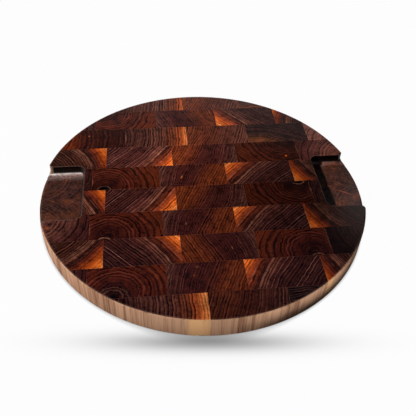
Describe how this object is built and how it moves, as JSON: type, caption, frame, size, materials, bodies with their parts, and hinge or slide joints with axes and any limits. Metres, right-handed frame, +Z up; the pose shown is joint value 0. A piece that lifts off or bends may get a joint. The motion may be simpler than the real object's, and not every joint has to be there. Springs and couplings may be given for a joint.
{
  "type": "pizza board",
  "caption": "Round end-grain wooden pizza board, glued up from rows of oiled blocks, with a finger pocket milled into the top at each side for lifting.",
  "frame": {"origin": "middle of the underside", "axes": "+Z up through the thickness, +X along the rows of blocks from one finger pocket to the other, +Y towards the back row"},
  "size_m": [0.406, 0.406, 0.0285],
  "materials": {
    "board_a": "oiled end grain",
    "board_b": "oiled end grain",
    "board_c": "oiled end grain",
    "board_d": "oiled end grain",
    "board_e": "oiled end grain",
    "board_f": "oiled end grain",
    "board_g": "oiled end grain",
    "board_h": "oiled end grain",
    "board_i": "oiled end grain",
    "board_j": "oiled end grain"
  },
  "bodies": {
    "root": {"back_row1_block_a": "board_a", "back_row1_block_b": "board_b", "back_row1_block_c": "board_c", "back_row1_block_d": "board_d", "back_row1_block_e": "board_e", "back_row2_block_a": "board_a", "back_row2_block_b": "board_b", "back_row2_block_c": "board_c", "back_row2_block_d": "board_d", "back_row2_block_e": "board_e", "back_row3_block_f": "board_f", "back_row3_block_g": "board_g", "back_row3_block_h": "board_h", "back_row3_block_i": "board_i", "back_row3_block_j": "board_j", "back_row4_block_a": "board_a", "back_row4_block_b": "board_b", "back_row4_block_c": "board_c", "back_row4_block_d": "board_d", "back_row4_block_e": "board_e", "back_row5_block_f": "board_f", "back_row5_block_g": "board_g", "back_row5_block_h": "board_h", "back_row5_block_i": "board_i", "front_row1_block_a": "board_a", "front_row1_block_b": "board_b", "front_row1_block_c": "board_c", "front_row1_block_d": "board_d", "front_row1_block_e": "board_e", "front_row2_block_a": "board_a", "front_row2_block_b": "board_b", "front_row2_block_c": "board_c", "front_row2_block_d": "board_d", "front_row2_block_e": "board_e", "front_row3_block_a": "board_a", "front_row3_block_b": "board_b", "front_row3_block_c": "board_c", "front_row3_block_d": "board_d", "front_row3_block_e": "board_e", "front_row4_block_a": "board_a", "front_row4_block_b": "board_b", "front_row4_block_c": "board_c", "front_row4_block_d": "board_d", "front_row4_block_e": "board_e", "front_row5_block_f": "board_f", "front_row5_block_g": "board_g", "front_row5_block_h": "board_h", "front_row5_block_i": "board_i"}
  },
  "joints": []
}
